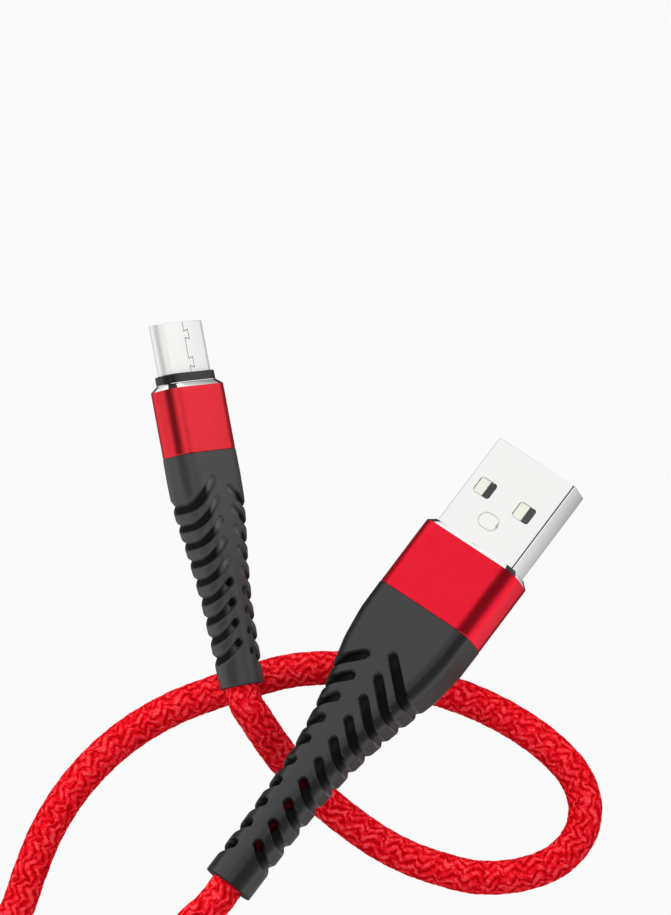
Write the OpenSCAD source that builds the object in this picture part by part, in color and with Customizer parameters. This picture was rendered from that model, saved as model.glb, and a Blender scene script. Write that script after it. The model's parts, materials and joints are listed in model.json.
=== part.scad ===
// Braided charging cable: USB-A plug at one end, USB-C plug at the other, slack coiled and tied.
// Millimetres, +Z up off the table. The USB-A plug lies along +Y with its collar over the origin.

/* [Cord] */
// Outside diameter of the braided cord
cord_d = 4.1; // [3.6:0.1:4.4]
// Thickness of the nylon braid
braid_t = 0.33; // [0.2:0.01:0.4]
// Thickness of the soft jacket under the braid
jacket_t = 0.45; // [0.3:0.01:0.6]
// Diameter of each insulated wire
wire_d = 0.76; // [0.6:0.01:0.8]

/* [USB-A plug] */
// Width of the metal shell
a_shell_w = 12; // [11.9:0.05:12.1]
// Height of the metal shell
a_shell_h = 4.5; // [4.4:0.05:4.6]
// Wall of the metal shell
a_shell_t = 0.3; // [0.25:0.05:0.35]
// Length of shell that shows in front of the collar
a_shell_len = 12.8; // [12:0.1:13.5]
// Width of the collar
a_collar_w = 14.6; // [14.2:0.1:15]
// Height of the collar
a_collar_h = 7.4; // [7.2:0.1:7.8]
// Length of the collar
a_collar_len = 10.2; // [9:0.1:11]
// Depth of the polished chamfer round the collar's mouth
a_chamfer = 0.85; // [0.6:0.05:1]
// Length of the rubber strain relief
a_relief_len = 40.9; // [39:0.1:42]
// Number of relief slots on each side
a_slots = 10; // [8:1:10]
// Distance from one relief slot to the next
a_slot_pitch = 3.1; // [2.9:0.1:3.1]

/* [USB-C plug] */
// Width of the metal shell
c_shell_w = 8.25; // [8.2:0.05:8.3]
// Height of the metal shell
c_shell_h = 2.4; // [2.35:0.05:2.45]
// Wall of the metal shell
c_shell_t = 0.2; // [0.15:0.05:0.25]
// Length of shell that shows in front of the black mould
c_shell_len = 6.3; // [6.2:0.1:6.6]
// Length of black mould that shows in front of the collar
c_mould_len = 1.1; // [0.8:0.1:1.4]
// Width of the collar
c_collar_w = 10; // [9.8:0.1:10.4]
// Height of the collar
c_collar_h = 5.2; // [5.1:0.1:5.6]
// Length of the collar
c_collar_len = 8.9; // [8:0.1:9.5]
// Depth of the polished chamfer round the collar's mouth
c_chamfer = 0.65; // [0.4:0.05:0.7]
// Length of the rubber strain relief
c_relief_len = 28.8; // [28:0.1:30]
// Number of relief slots on each side
c_slots = 9; // [7:1:9]
// Distance from one relief slot to the next
c_slot_pitch = 2.6; // [2.4:0.1:2.6]

/* [Lay] */
// Nose-down angle of the USB-A plug, which lies across the cord
a_pitch = 8.2; // [8.1:0.1:8.5]
// Angle that the USB-A plug leans over on its edge
a_roll = 26; // [24:0.5:28]
// Direction of the USB-C plug, turned anticlockwise from +Y
c_heading = 47.8; // [46:0.1:49]
// Nose-down angle of the USB-C plug
c_pitch = 3.5; // [3:0.1:4]
// Angle that the USB-C plug leans over on its edge
c_roll = 47.5; // [45:0.5:50]
// Radius of the coil at the middle of its turns
coil_r = 22.5; // [21:0.5:24]

/* [Hidden] */
$fn = 48;

cord_r = cord_d / 2;
jacket_r = cord_r - braid_t;
core_r = jacket_r - jacket_t;
wire_r = wire_d / 2;
gap = 0.03;
eps = 0.01;

// Places of the two plug tips, with each plug's axis running back from its tip
a_tip = [0, 31.5, 4.44];
c_tip = [-46.4, 18.5, 4.2];

// Stations along each plug, measured back from its tip
a_collar_at = a_shell_len;
a_relief_at = a_collar_at + a_collar_len;
a_end = a_relief_at + a_relief_len;
c_collar_at = c_shell_len + c_mould_len;
c_relief_at = c_collar_at + c_collar_len;
c_end = c_relief_at + c_relief_len;
pocket_len = 5;
contact_t = 0.25;
solder_t = 0.3;
collar_wall = 0.6;

// Cross-sections of the reliefs: [distance from the collar, half width, half height, corner radius]
a_relief_rings = [
    [0, 7.3, 3.7, 2.2], [4, 7.1, 3.6, 2.2], [8, 6.4, 3.5, 2.3], [11, 5.8, 3.4, 2.4],
    [14.5, 5.0, 3.3, 2.5], [18, 4.3, 3.2, 2.6], [22, 3.7, 3.15, 2.8], [26, 3.35, 3.1, 2.9],
    [33, 3.1, 3.08, 3.0], [a_relief_len, 3.05, 3.05, 3.0]
];
c_relief_rings = [
    [0, 5.0, 2.6, 2.0], [3, 4.75, 2.6, 2.05], [6, 4.3, 2.65, 2.2], [9, 3.8, 2.7, 2.3],
    [13, 3.2, 2.7, 2.5], [18, 2.85, 2.7, 2.6], [c_relief_len, 2.7, 2.7, 2.65]
];

// Route of the cord from the USB-C plug to the coil, along its centreline
cord_run_points = [
    plug_point(c_tip, c_heading, c_pitch, c_end),
    plug_point(c_tip, c_heading, c_pitch, c_end + 2),
    [-9.2, -14, 6.4], [-6.5, -15, 4.9], [-3.5, -15.9, 3.4], [0, -16.6, 2.4],
    [4, -17.1, 2.05], [8, -17.2, 2.05], [12, -17, 2.05], [16, -16.3, 2.05], [20, -15, 2.05],
    [24, -13.2, 2.05], [28, -9.8, 2.05], [30.6, -5.6, 2.05], [30.9, -1.4, 2.05], [29.3, 1.8, 2.05],
    [26.3, 3.9, 2.05], [22.2, 4.8, 2.05], [17.2, 4.8, 2.05], [12, 4, 2.05], [7.2, 2.6, 2.05],
    [2.8, 0.8, 2.05], [-1.6, -1.1, 2.05], [-5.6, -3.5, 2.05], [-9.4, -6.8, 2.05], [-12.6, -10.8, 2.05],
    [-15.4, -14.8, 2.05], [-18.1, -19.2, 2.05], [-20.3, -24.4, 2.05], [-21.5, -29.4, 2.05],
    [-21.9, -35, 2.05], [-21.3, -40.8, 2.05], [-19.9, -46, 2.05], [-18.4, -51, 2.05],
    [-18.7, -57, 2.05], [-20.9, -63, 2.05], [-23.6, -69.5, 2.05], [-25.2, -77, 2.05], [-25.9, -85, 2.05]
];

// Route of the cord from the top of the coil up to the USB-A plug
cord_tail_points = [
    [12.5, -57.7, 6.4], [7.5, -54.4, 7.3], [2.6, -50, 9.4], [0.2, -44.6, 12], [-0.7, -39.2, 13.7],
    plug_point(a_tip, 0, a_pitch, a_end + 3),
    plug_point(a_tip, 0, a_pitch, a_end)
];

coil_centre = [5, -86];
turn_pitch = cord_d + 0.05;
tie_w = 9;
tie_t = 0.6;

// ---- Shared shapes ----

// Unit vector along a plug, from its cord towards its tip
function plug_axis(heading, pitch) =
    [-sin(heading) * cos(pitch), cos(heading) * cos(pitch), -sin(pitch)];

// Point on a plug's axis, a distance back from its tip
function plug_point(tip, heading, pitch, back) = tip - back * plug_axis(heading, pitch);

function unit(v) = v / norm(v);

// Direction of a path at one of its points
function path_direction(points, i) =
    let (last = len(points) - 1)
    unit(points[min(i + 1, last)] - points[max(i - 1, 0)]);

// Ring of points round a path
function tube_ring(centre, direction, r, sides) =
    let (side = unit(cross(direction, [0, 0, 1])), up = cross(side, direction))
    [for (k = [0:sides - 1])
        centre + r * (cos((k + 0.5) * 360 / sides) * side - sin((k + 0.5) * 360 / sides) * up)];

// Rounded rectangle across the plug's axis, for a ring [station, half width, half height, radius]
corner_steps = 5;
function section_ring(ring) = [
    for (corner = [0:3], step = [0:corner_steps - 1])
        let (
            angle = 90 * (corner + (step + 0.5) / corner_steps),
            x_side = corner == 0 || corner == 3 ? 1 : -1,
            z_side = corner < 2 ? 1 : -1
        )
        [x_side * (ring[1] - ring[3]) + ring[3] * cos(angle), -ring[0],
         z_side * (ring[2] - ring[3]) + ring[3] * sin(angle)]
];

// Closed solid through a list of rings, each with the same number of points
module skin(rings) {
    sides = len(rings[0]);
    last = len(rings) - 1;
    polyhedron(
        points = [for (ring = rings) each ring],
        faces = [
            [for (k = [0:sides - 1]) k],
            [for (k = [sides - 1:-1:0]) last * sides + k],
            for (i = [0:last - 1], k = [0:sides - 1])
                let (a = i * sides + k, b = i * sides + (k + 1) % sides)
                each [[a, a + sides, b], [b, a + sides, b + sides]]
        ],
        convexity = 6
    );
}

// Round tube of a given radius swept along a path
module tube(points, r, sides = 8) {
    skin([for (i = [0:len(points) - 1])
        tube_ring(points[i], path_direction(points, i), r, sides)]);
}

// Flat outline with rounded corners
module rounded_outline(w, h, r) {
    square([w - 2 * r, h], center = true);
    square([w, h - 2 * r], center = true);
    for (x = [-1, 1], z = [-1, 1]) translate([x * (w / 2 - r), z * (h / 2 - r)]) circle(r);
}

// Rounded bar along the plug's axis, from one station to another
module bar(w, h, r, from, to) {
    translate([0, -from, 0]) rotate([90, 0, 0]) linear_extrude(to - from) rounded_outline(w, h, r);
}

// Square-edged block between two stations
module block(x, w, z_low, z_high, from, to) {
    translate([x - w / 2, -to, z_low]) cube([w, to - from, z_high - z_low]);
}

// Round rod along the plug's axis
module rod(r, from, to) {
    translate([0, -from, 0]) rotate([90, 0, 0]) cylinder(r = r, h = to - from);
}

module pipe(outer_r, inner_r, from, to) {
    difference() {
        rod(outer_r, from, to);
        rod(inner_r, from - 1, to + 1);
    }
}

module place_plug(tip, heading, pitch, roll) {
    translate(tip) rotate([0, 0, heading]) rotate([-pitch, 0, 0]) rotate([0, roll, 0]) children();
}

module place_a() {
    place_plug(a_tip, 0, a_pitch, -a_roll) children();
}

module place_c() {
    place_plug(c_tip, c_heading, c_pitch, c_roll) children();
}

// Metal sleeve with a chamfered mouth, open at both ends
module collar(w, h, r, from, length, chamfer, mouth_w, mouth_h, mouth_r) {
    lip = 1.6;
    difference() {
        skin([
            section_ring([from, w / 2 - chamfer, h / 2 - chamfer, r - chamfer / 2]),
            section_ring([from + chamfer, w / 2, h / 2, r]),
            section_ring([from + length, w / 2, h / 2, r])
        ]);
        bar(mouth_w, mouth_h, mouth_r, from - 1, from + lip + 1);
        bar(w - 2 * collar_wall, h - 2 * collar_wall, r - collar_wall, from + lip, from + length + 1);
    }
}

// Rubber strain relief with a bore for the cord and slanted slots cut in from both sides
// The slots of the two sides are staggered, and those on the lead side start nearer the collar
module relief(rings, at, length, slots, slot_pitch, first_slot, lead_side, spine, pocket_w, pocket_h) {
    slot_w = 0.8;
    slant = 42;
    reach = 9;
    difference() {
        translate([0, -at, 0]) skin([for (ring = rings) section_ring(ring)]);
        block(0, pocket_w, -pocket_h / 2, pocket_h / 2, at - 1, at + pocket_len);
        rod(cord_r + gap, at, at + length + 1);
        for (side = [-1, 1], i = [0:slots - 1])
            translate([side * spine, -at - first_slot - (i + (side == lead_side ? 0 : 0.5)) * slot_pitch, 0])
                rotate([0, 0, -side * slant])
                    translate([side * reach / 2, 0, 0]) cube([reach, slot_w, 2 * reach], center = true);
    }
}

// Insulated wires start at the solder joints and draw together inside the jacket
module wire(x, start, z, gather, end, quarter) {
    angle = 45 + 90 * quarter;
    spread = wire_r * 1.12 * sqrt(2);
    tube([
        [x, -start, z], [x, -start - 1.2, z],
        [x * 0.6 + spread * cos(angle) * 0.5, -(start + gather) / 2, z * 0.6 + spread * sin(angle) * 0.4],
        [spread * cos(angle), -gather, spread * sin(angle)],
        [spread * cos(angle), -end, spread * sin(angle)]
    ], wire_r);
}

// ---- USB-A plug ----

a_contact_x = [-3.5, -1, 1, 3.5];
a_contact_w = 1;
a_tongue_low = 0.05;
a_block_at = 12;
a_block_end = 19.5;
a_tail_end = 22;
a_wire_at = 20.8;
a_jacket_at = a_relief_at + 3.2;
a_braid_at = a_relief_at + pocket_len;
window_w = 2.4;
window_l = 2.1;
window_x = 3.1;
window_at = 5.9;

module usb_a_shell() {
    inner_w = a_shell_w - 2 * a_shell_t;
    inner_h = a_shell_h - 2 * a_shell_t;
    color("silver") place_a() difference() {
        bar(a_shell_w, a_shell_h, 0.5, 0, a_block_end + 0.3);
        bar(inner_w, inner_h, 0.25, -1, a_block_end + 1);
        for (x = [-window_x, window_x])
            translate([x, -window_at, 0])
                linear_extrude(2 * a_shell_h, center = true) rounded_outline(window_w, window_l, 0.4);
    }
}

module usb_a_insulator() {
    w = a_shell_w - 2 * a_shell_t - 0.2;
    top = a_shell_h / 2 - a_shell_t - 0.08;
    color("ivory") place_a() difference() {
        union() {
            block(0, w, a_tongue_low, top, 0.6, a_block_at);
            block(0, w, -top, top, a_block_at, a_block_end);
        }
        for (x = a_contact_x)
            block(x, a_contact_w + 0.1, a_tongue_low - contact_t - 0.05, a_tongue_low,
                a_block_at - 1, a_block_end + 1);
        // Pockets under the windows, which the socket's springs drop into
        for (x = [-window_x, window_x])
            block(x + 0.7, 1, top - 1.2, top + 1, window_at - 0.9, window_at + 0.9);
    }
}

// The two outer contacts reach nearer the mouth, so that power makes before data
module usb_a_contact(i) {
    start = i == 0 || i == 3 ? 1.2 : 2.2;
    color("gold") place_a()
        block(a_contact_x[i], a_contact_w, a_tongue_low - contact_t, a_tongue_low - gap, start, a_tail_end);
}

module usb_a_contact_vbus() { usb_a_contact(0); }
module usb_a_contact_data_minus() { usb_a_contact(1); }
module usb_a_contact_data_plus() { usb_a_contact(2); }
module usb_a_contact_ground() { usb_a_contact(3); }

module usb_a_solder_joints() {
    color("lightgray") place_a()
        for (x = a_contact_x)
            block(x, 0.9, a_tongue_low, a_tongue_low + solder_t, 20.2, 21.8);
}

module usb_a_wire(i) {
    place_a() wire(a_contact_x[i], a_wire_at, a_tongue_low + solder_t + wire_r + 2 * gap, a_jacket_at - 0.6,
        a_jacket_at + 2.5, [1, 2, 3, 0][i]);
}

module usb_a_wire_red() { color("red") usb_a_wire(0); }
module usb_a_wire_white() { color("white") usb_a_wire(1); }
module usb_a_wire_green() { color("green") usb_a_wire(2); }
module usb_a_wire_black() { color("black") usb_a_wire(3); }

// Hollow plastic cover round the back of the shell and the solder joints
module usb_a_inner_mould() {
    w = a_collar_w - 2 * collar_wall - 0.1;
    h = a_collar_h - 2 * collar_wall - 0.1;
    lip_end = a_collar_at + 1.7;
    color("dimgray") place_a() difference() {
        bar(w, h, 1.5, lip_end, a_relief_at - gap);
        bar(a_shell_w + 0.06, a_shell_h + 0.06, 0.5, lip_end - 1, a_block_end + 0.5);
        block(0, 9.4, -1.8, 1.8, a_block_end, a_relief_at + 1);
    }
}

// Metal ferrule that grips the cable shield on the jacket
module usb_a_crimp() {
    color("darkgray") place_a() pipe(jacket_r + 0.35, jacket_r + gap, a_jacket_at, a_jacket_at + 1.5);
}

module usb_a_collar() {
    color("crimson") place_a() collar(a_collar_w, a_collar_h, 2.2, a_collar_at, a_collar_len, a_chamfer,
        a_shell_w + 0.1, a_shell_h + 0.1, 0.5);
}

module usb_a_relief() {
    color("dimgray") place_a()
        relief(a_relief_rings, a_relief_at, a_relief_len, a_slots, a_slot_pitch, 6.5, 1, 1.3, 9.4, 5);
}

module usb_a_shield_end() {
    color("darkgray") place_a() pipe(core_r - gap, core_r - 0.15, a_jacket_at - 0.4, a_jacket_at + 4);
}

module usb_a_jacket_end() {
    color("white") place_a() pipe(jacket_r, core_r, a_jacket_at, a_end);
}

module usb_a_braid_end() {
    color("red") place_a() pipe(cord_r, jacket_r + gap, a_braid_at, a_end);
}

// ---- USB-C plug ----

// Contact positions that a charging and data cable fills, out of twelve half a millimetre apart
c_upper_positions = [1, 4, 5, 6, 7, 9, 12];
c_lower_positions = [1, 4, 5, 9, 12];
c_slot_w = 6.7;
c_slot_h = 0.9;
c_contact_high = 0.42;
c_housing_end = 9.5;
c_board_at = 9.7;
c_board_end = 15.2;
c_board_h = 0.6;
c_wire_x = [-2.4, -0.8, 0.8, 2.4];
c_wire_at = 13.4;
c_jacket_at = c_relief_at + 3.2;
c_braid_at = c_relief_at + pocket_len;

module usb_c_shell() {
    color("silver") place_c() difference() {
        bar(c_shell_w, c_shell_h, c_shell_h / 2 - eps, 0, c_housing_end + 0.5);
        bar(c_shell_w - 2 * c_shell_t, c_shell_h - 2 * c_shell_t, c_shell_h / 2 - c_shell_t - eps,
            -1, c_housing_end + 1);
    }
}

module usb_c_housing() {
    w = c_shell_w - 2 * c_shell_t - 0.1;
    h = c_shell_h - 2 * c_shell_t - 0.1;
    channel_w = 6.2;
    color("black") place_c() difference() {
        bar(w, h, h / 2 - eps, 0.3, c_housing_end);
        block(0, c_slot_w, -c_slot_h / 2, c_slot_h / 2, 0, 6.7);
        for (z = [-1, 1])
            block(0, channel_w, z * 0.36 - 0.09, z * 0.36 + 0.09, 6, c_housing_end + 1);
        block(0, 6.9, -0.1, 0.1, 6, 9.2);
    }
}

module c_contact_row(positions, side) {
    color("gold") place_c()
        for (p = positions)
            block((p - 6.5) * 0.5, 0.25, side > 0 ? 0.3 : -c_contact_high, side > 0 ? c_contact_high : -0.3,
                2.4, 11);
}

module usb_c_upper_contacts() { c_contact_row(c_upper_positions, 1); }
module usb_c_lower_contacts() { c_contact_row(c_lower_positions, -1); }

// Steel plate between the two rows, with a sprung latch arm down each side of the slot
module usb_c_latch_plate() {
    color("silver") place_c() {
        block(0, 6.62, -0.07, 0.07, 6.6, 9.1);
        for (side = [-1, 1]) {
            block(side * 3.24, 0.14, -0.25, 0.25, 1.9, 6.69);
            block(side * 3.07, 0.2, -0.25, 0.25, 2.1, 2.9);
        }
    }
}

module usb_c_ground_springs() {
    color("silver") place_c()
        for (z = [-0.38, 0.38]) block(0, 5, z - 0.05, z + 0.05, 0.8, 1.7);
}

module usb_c_paddle_board() {
    color("green") place_c() block(0, 7.4, -c_board_h / 2 + eps, c_board_h / 2 - eps, c_board_at, c_board_end);
}

module usb_c_resistor() {
    color("black") place_c() block(1.6, 1, c_board_h / 2, c_board_h / 2 + 0.35, 11.7, 12.2);
}

module usb_c_solder_joints() {
    color("lightgray") place_c()
        for (x = c_wire_x) block(x, 0.9, c_board_h / 2, c_board_h / 2 + 0.2, 13, 14.8);
}

module usb_c_wires() {
    place_c()
        for (i = [0:3])
            color(["red", "white", "green", "black"][i])
                wire(c_wire_x[i], c_wire_at, c_board_h / 2 + 0.2 + wire_r + 2 * gap, c_jacket_at - 0.6,
                    c_jacket_at + 2.5, [1, 2, 3, 0][i]);
}

// Black plastic cover: a ring round the root of the shell, and a hollow body inside the collar
module usb_c_inner_mould() {
    mouth_w = c_collar_w - 2 * c_chamfer;
    mouth_h = c_collar_h - 2 * c_chamfer;
    body_w = c_collar_w - 2 * collar_wall - 0.1;
    body_h = c_collar_h - 2 * collar_wall - 0.1;
    color("black") place_c() difference() {
        union() {
            bar(mouth_w - 0.1, mouth_h - 0.1, 1.5, c_shell_len, c_collar_at + 1.65);
            bar(body_w, body_h, 1.3, c_collar_at + 1.65, c_relief_at - gap);
        }
        bar(c_shell_w + 0.06, c_shell_h + 0.06, c_shell_h / 2 + 0.02, c_shell_len - 1, c_housing_end + 0.6);
        block(0, 7.8, -1.45, 1.45, c_housing_end, c_relief_at + 1);
    }
}

module usb_c_crimp() {
    color("darkgray") place_c() pipe(jacket_r + 0.3, jacket_r + gap, c_jacket_at, c_jacket_at + 1.5);
}

module usb_c_collar() {
    color("crimson") place_c() collar(c_collar_w, c_collar_h, 2, c_collar_at, c_collar_len, c_chamfer,
        c_collar_w - 2 * c_chamfer, c_collar_h - 2 * c_chamfer, 1.5);
}

module usb_c_relief() {
    color("dimgray") place_c()
        relief(c_relief_rings, c_relief_at, c_relief_len, c_slots, c_slot_pitch, 2.4, -1, 1, 7, 4.2);
}

module usb_c_shield_end() {
    color("darkgray") place_c() pipe(core_r - gap, core_r - 0.15, c_jacket_at - 0.4, c_jacket_at + 4);
}

module usb_c_jacket_end() {
    color("white") place_c() pipe(jacket_r, core_r, c_jacket_at, c_end);
}

module usb_c_braid_end() {
    color("red") place_c() pipe(cord_r, jacket_r + gap, c_braid_at, c_end);
}

// ---- Cord and coil ----

module cord_run() {
    color("red") tube(cord_run_points, cord_r);
}

module cord_tail() {
    color("red") tube(cord_tail_points, cord_r);
}

// Outer shape of the coil: three turns on the table and two on top of them
module cord_coil() {
    color("red") difference() {
        translate([coil_centre[0], coil_centre[1], 0])
            rotate_extrude() {
                translate([coil_r, cord_r]) rounded_outline(3 * turn_pitch, cord_d, cord_r - eps);
                translate([coil_r, cord_d + eps])
                    rounded_outline(2 * turn_pitch + 0.2, 2 * cord_d - 2 * eps, cord_r - 0.05);
            }
        tie_strap();
    }
}

// Hook-and-loop strap round all the turns, on the coil's +X side
module tie_strap() {
    slack = 0.5;
    inner_w = 3 * turn_pitch + 2 * slack;
    inner_h = 2 * cord_d + slack;
    translate([coil_centre[0] + coil_r, coil_centre[1] + tie_w / 2, tie_t + inner_h / 2])
        rotate([90, 0, 0])
            linear_extrude(tie_w)
                difference() {
                    rounded_outline(inner_w + 2 * tie_t, inner_h + 2 * tie_t, 1.8);
                    rounded_outline(inner_w, inner_h, 1.2);
                }
}

module coil_tie() { color("dimgray") tie_strap(); }

usb_a_shell();
usb_a_insulator();
usb_a_contact_vbus();
usb_a_contact_data_minus();
usb_a_contact_data_plus();
usb_a_contact_ground();
usb_a_solder_joints();
usb_a_wire_red();
usb_a_wire_white();
usb_a_wire_green();
usb_a_wire_black();
usb_a_inner_mould();
usb_a_crimp();
usb_a_collar();
usb_a_relief();
usb_a_shield_end();
usb_a_jacket_end();
usb_a_braid_end();
usb_c_shell();
usb_c_housing();
usb_c_upper_contacts();
usb_c_lower_contacts();
usb_c_latch_plate();
usb_c_ground_springs();
usb_c_paddle_board();
usb_c_resistor();
usb_c_solder_joints();
usb_c_wires();
usb_c_inner_mould();
usb_c_crimp();
usb_c_collar();
usb_c_relief();
usb_c_shield_end();
usb_c_jacket_end();
usb_c_braid_end();
cord_run();
cord_coil();
cord_tail();
coil_tie();
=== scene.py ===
import json
import math
from types import SimpleNamespace

import bpy
import numpy as np
from mathutils import Matrix, Vector


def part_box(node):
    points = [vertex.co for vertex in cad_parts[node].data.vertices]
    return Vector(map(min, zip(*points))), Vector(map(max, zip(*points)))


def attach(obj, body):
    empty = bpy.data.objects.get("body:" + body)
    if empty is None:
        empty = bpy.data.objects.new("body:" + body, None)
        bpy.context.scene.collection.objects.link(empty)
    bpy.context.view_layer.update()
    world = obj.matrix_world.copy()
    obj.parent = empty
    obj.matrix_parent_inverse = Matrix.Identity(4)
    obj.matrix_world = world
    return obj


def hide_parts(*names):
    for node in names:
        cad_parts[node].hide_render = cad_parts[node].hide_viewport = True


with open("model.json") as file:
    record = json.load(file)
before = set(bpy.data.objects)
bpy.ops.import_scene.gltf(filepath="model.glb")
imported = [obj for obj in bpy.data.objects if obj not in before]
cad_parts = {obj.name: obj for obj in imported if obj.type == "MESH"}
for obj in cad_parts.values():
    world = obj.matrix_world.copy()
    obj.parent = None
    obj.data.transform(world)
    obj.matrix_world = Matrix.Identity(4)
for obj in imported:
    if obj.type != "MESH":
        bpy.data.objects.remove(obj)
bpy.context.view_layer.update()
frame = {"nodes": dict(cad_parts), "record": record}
NODES = frame["nodes"]
MOUNTS = {mount["name"]: mount for mount in frame["record"]["mounts"]}
MM = 0.001

# ---- Driving sizes, in metres ----

CORD_D = 4.1 * MM
CORD_R = CORD_D / 2
TURN_PITCH = CORD_D + 0.05 * MM
COIL_CENTRE = Vector((5, -86, 0)) * MM
COIL_R = 22.5 * MM
COIL_START = 180
COIL_END = 1830

# Camera: straight down on the plugs, turned so that the USB-A plug points up and to the right
CAMERA_AT = Vector((-20.86, 17.3, 900)) * MM
CAMERA_TURN = 37.2
SEEN_HEIGHT = 111.6 * MM
SEEN_PLANE = 6 * MM


def plug_frame(mount, roll):
    """Frame of a plug: the origin in its mouth, +Y out of the mouth and +Z out of its upper face."""
    y = Vector(MOUNTS[mount]["axis"]).normalized()
    level = y.cross(Vector((0, 0, 1))).normalized()
    above = level.cross(y)
    z = above * math.cos(roll) + level * math.sin(roll)
    turn = Matrix((y.cross(z), y, z)).transposed().to_4x4()
    return Matrix.Translation(Vector(MOUNTS[mount]["pos_m"])) @ turn


# Each plug leans over on its edge
PLUG_A = plug_frame("usb_a_plug", math.radians(-26))
PLUG_C = plug_frame("usb_c_plug", math.radians(47.5))


def local_box(node, plug):
    """Lowest and highest corners of a CAD node in a plug's own frame."""
    back = plug.inverted()
    points = np.array([back @ vertex.co for vertex in NODES[node].data.vertices])
    return points.min(0), points.max(0)


def stations(node, plug):
    """Where a node starts and ends, as distances back from the plug's tip."""
    low, high = local_box(node, plug)
    return -high[1], -low[1]


def on_axis(plug, back):
    """Point on a plug's axis, at a distance back from its tip."""
    return plug @ Vector((0, -back, 0))


A_RELIEF = stations("usb_a_relief", PLUG_A)
C_COLLAR = stations("usb_c_collar", PLUG_C)
C_RELIEF = stations("usb_c_relief", PLUG_C)
A_EXIT = on_axis(PLUG_A, A_RELIEF[1])
C_EXIT = on_axis(PLUG_C, C_RELIEF[1])
# The braid runs on a little way inside each strain relief's mouth
MOUTH_DEPTH = 2 * MM

# ---- Camera ----


def add_camera():
    data = bpy.data.cameras.new("camera")
    data.sensor_width = 36
    data.lens = data.sensor_width * (CAMERA_AT.z - SEEN_PLANE) / SEEN_HEIGHT
    data.clip_start = 0.05
    data.clip_end = 20
    camera = bpy.data.objects.new("camera", data)
    camera.location = CAMERA_AT
    camera.rotation_euler = (0, 0, math.radians(CAMERA_TURN))
    bpy.context.scene.collection.objects.link(camera)
    bpy.context.scene.camera = camera


add_camera()

# ---- Mesh helpers ----


def loose_mesh(name, vertices, faces, materials):
    """Plain mesh object, before it is placed."""
    mesh = bpy.data.meshes.new(name)
    mesh.from_pydata([tuple(v) for v in vertices], [], faces)
    for material in materials:
        mesh.materials.append(material)
    piece = bpy.data.objects.new(name, mesh)
    bpy.context.scene.collection.objects.link(piece)
    return piece


def grid_faces(rings, around):
    """Quads between consecutive closed rings, counted anticlockwise seen from outside."""
    ring = np.arange(rings - 1)[:, None] * around
    step = np.arange(around)[None, :]
    nxt = (step + 1) % around
    quads = np.stack([ring + step, ring + nxt, ring + around + nxt, ring + around + step], axis=-1)
    return quads.reshape(-1, 4)


def smooth_path(points, spacing):
    """Evenly spaced points on a centripetal Catmull-Rom curve through the given points."""
    p = np.array([tuple(v) for v in points], float)
    p = np.vstack([2 * p[0] - p[1], p, 2 * p[-1] - p[-2]])
    fine = []
    for i in range(1, len(p) - 2):
        p0, p1, p2, p3 = p[i - 1:i + 3]
        t1 = np.linalg.norm(p1 - p0) ** 0.5
        t2 = t1 + np.linalg.norm(p2 - p1) ** 0.5
        t3 = t2 + np.linalg.norm(p3 - p2) ** 0.5
        t = np.linspace(t1, t2, 40, endpoint=False)[:, None]
        a1 = (t1 - t) / t1 * p0 + t / t1 * p1
        a2 = (t2 - t) / (t2 - t1) * p1 + (t - t1) / (t2 - t1) * p2
        a3 = (t3 - t) / (t3 - t2) * p2 + (t - t2) / (t3 - t2) * p3
        b1 = (t2 - t) / t2 * a1 + t / t2 * a2
        b2 = (t3 - t) / (t3 - t1) * a2 + (t - t1) / (t3 - t1) * a3
        fine.append((t2 - t) / (t2 - t1) * b1 + (t - t1) / (t2 - t1) * b2)
    fine = np.vstack(fine + [p[-2][None]])
    return evenly(fine, spacing)


def evenly(points, spacing):
    """The same line, with its points an even distance apart."""
    steps = np.linalg.norm(np.diff(points, axis=0), axis=1)
    along = np.concatenate([[0], np.cumsum(steps)])
    count = max(2, int(round(along[-1] / spacing)) + 1)
    wanted = np.linspace(0, along[-1], count)
    return np.stack([np.interp(wanted, along, points[:, k]) for k in range(3)], axis=1)


def path_frames(points):
    """Tangent, side and up of each point, carried along without twist."""
    tangent = np.gradient(points, axis=0)
    tangent /= np.linalg.norm(tangent, axis=1)[:, None]
    side = np.cross(tangent[0], [0, 0, 1.0])
    side /= np.linalg.norm(side)
    sides = [side]
    for t in tangent[1:]:
        side = side - t * np.dot(side, t)
        side /= np.linalg.norm(side)
        sides.append(side)
    sides = np.array(sides)
    return tangent, sides, np.cross(sides, tangent)


def ease(t):
    """Smooth step from 0 to 1."""
    t = np.clip(t, 0, 1)
    return t * t * (3 - 2 * t)


# ---- The cord's route ----

# From the USB-C plug to the coil, in millimetres
RUN_POINTS = [
    (-9.2, -14, 6.4), (-6.5, -15, 4.9), (-3.5, -15.9, 3.4), (0, -16.6, 2.4),
    (4, -17.1, 2.05), (8, -17.2, 2.05), (12, -17, 2.05), (16, -16.3, 2.05), (20, -15, 2.05),
    (24, -13.2, 2.05), (28, -9.8, 2.05), (30.6, -5.6, 2.05), (30.9, -1.4, 2.05), (29.3, 1.8, 2.05),
    (26.3, 3.9, 2.05), (22.2, 4.8, 2.05), (17.2, 4.8, 2.05), (12, 4, 2.05), (7.2, 2.6, 2.05),
    (2.8, 0.8, 2.05), (-1.6, -1.1, 2.05), (-5.6, -3.5, 2.05), (-9.4, -6.8, 2.05), (-12.6, -10.8, 2.05),
    (-15.4, -14.8, 2.05), (-18.1, -19.2, 2.05), (-20.3, -24.4, 2.05), (-21.5, -29.4, 2.05),
    (-21.9, -35, 2.05), (-21.3, -40.8, 2.05), (-19.9, -46, 2.05), (-18.4, -51, 2.05),
    (-18.7, -57, 2.05), (-20.9, -63, 2.05), (-23.6, -69.5, 2.05), (-25.2, -77, 2.05),
]
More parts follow.
